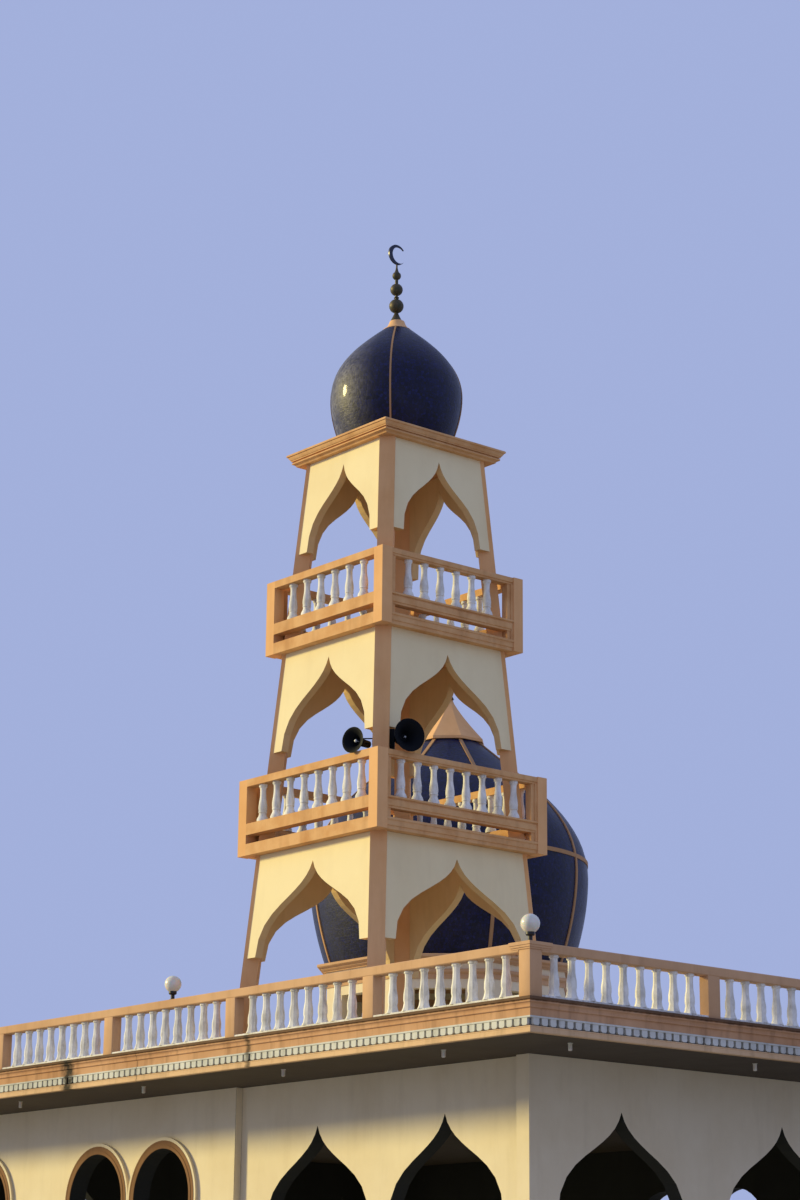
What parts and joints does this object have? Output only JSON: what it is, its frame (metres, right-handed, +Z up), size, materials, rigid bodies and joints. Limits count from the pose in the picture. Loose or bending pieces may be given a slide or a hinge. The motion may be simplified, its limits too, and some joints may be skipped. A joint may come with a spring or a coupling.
{
  "type": "mosque building",
  "caption": "Mosque hall with arched openings, a balustraded flat roof, a tapering open minaret with balconies, and a large ribbed dome on a drum.",
  "frame": {"origin": "on the ground in the middle of the plan", "axes": "+Z up, +X along the long side towards the minaret's end, -Y out of the front"},
  "size_m": [26.62, 19.82, 21.7696],
  "materials": {
    "cream_render": "matt masonry paint on smooth render",
    "tan_render": "matt masonry paint on smooth render",
    "navy_mosaic": "gloss glazed mosaic",
    "black_metal": "satin paint",
    "opal_globe": "satin opal",
    "floor_screed": "trowelled screed"
  },
  "bodies": {
    "root": {"hall_floor": "floor_screed", "front_wall_east": "cream_render", "front_wall_west": "cream_render", "back_wall_east": "cream_render", "back_wall_west": "cream_render", "right_wall": "cream_render", "left_wall": "cream_render", "roof_slab": "cream_render", "drum_wall": "cream_render", "low_panel_front": "cream_render", "low_panel_right": "cream_render", "low_panel_back": "cream_render", "low_panel_left": "cream_render", "middle_panel_front": "cream_render", "middle_panel_right": "cream_render", "middle_panel_back": "cream_render", "middle_panel_left": "cream_render", "upper_panel_front": "cream_render", "upper_panel_right": "cream_render", "upper_panel_back": "cream_render", "upper_panel_left": "cream_render", "parapet_front": "tan_render", "parapet_right": "tan_render", "parapet_back": "tan_render", "parapet_left": "tan_render", "tower_pier_near": "tan_render", "tower_pier_right": "tan_render", "tower_pier_far": "tan_render", "tower_pier_left": "tan_render", "lower_balcony_slab": "tan_render", "lower_balcony_front": "tan_render", "lower_balcony_right": "tan_render", "lower_balcony_back": "tan_render", "lower_balcony_left": "tan_render", "upper_balcony_slab": "tan_render", "upper_balcony_front": "tan_render", "upper_balcony_right": "tan_render", "upper_balcony_back": "tan_render", "upper_balcony_left": "tan_render", "tower_cornice": "tan_render", "tower_dome_collar": "tan_render", "drum_cornice": "tan_render", "dome_cap": "tan_render", "tower_dome": "navy_mosaic", "big_dome": "navy_mosaic", "tower_finial": "black_metal", "dome_finial": "black_metal", "horn_right": "black_metal", "horn_left": "black_metal", "corner_lamp_front_right": "opal_globe", "corner_lamp_front_left": "opal_globe", "corner_lamp_back_right": "opal_globe", "corner_lamp_back_left": "opal_globe", "rail_lamp_right": "opal_globe", "rail_lamp_left": "opal_globe"}
  },
  "joints": []
}
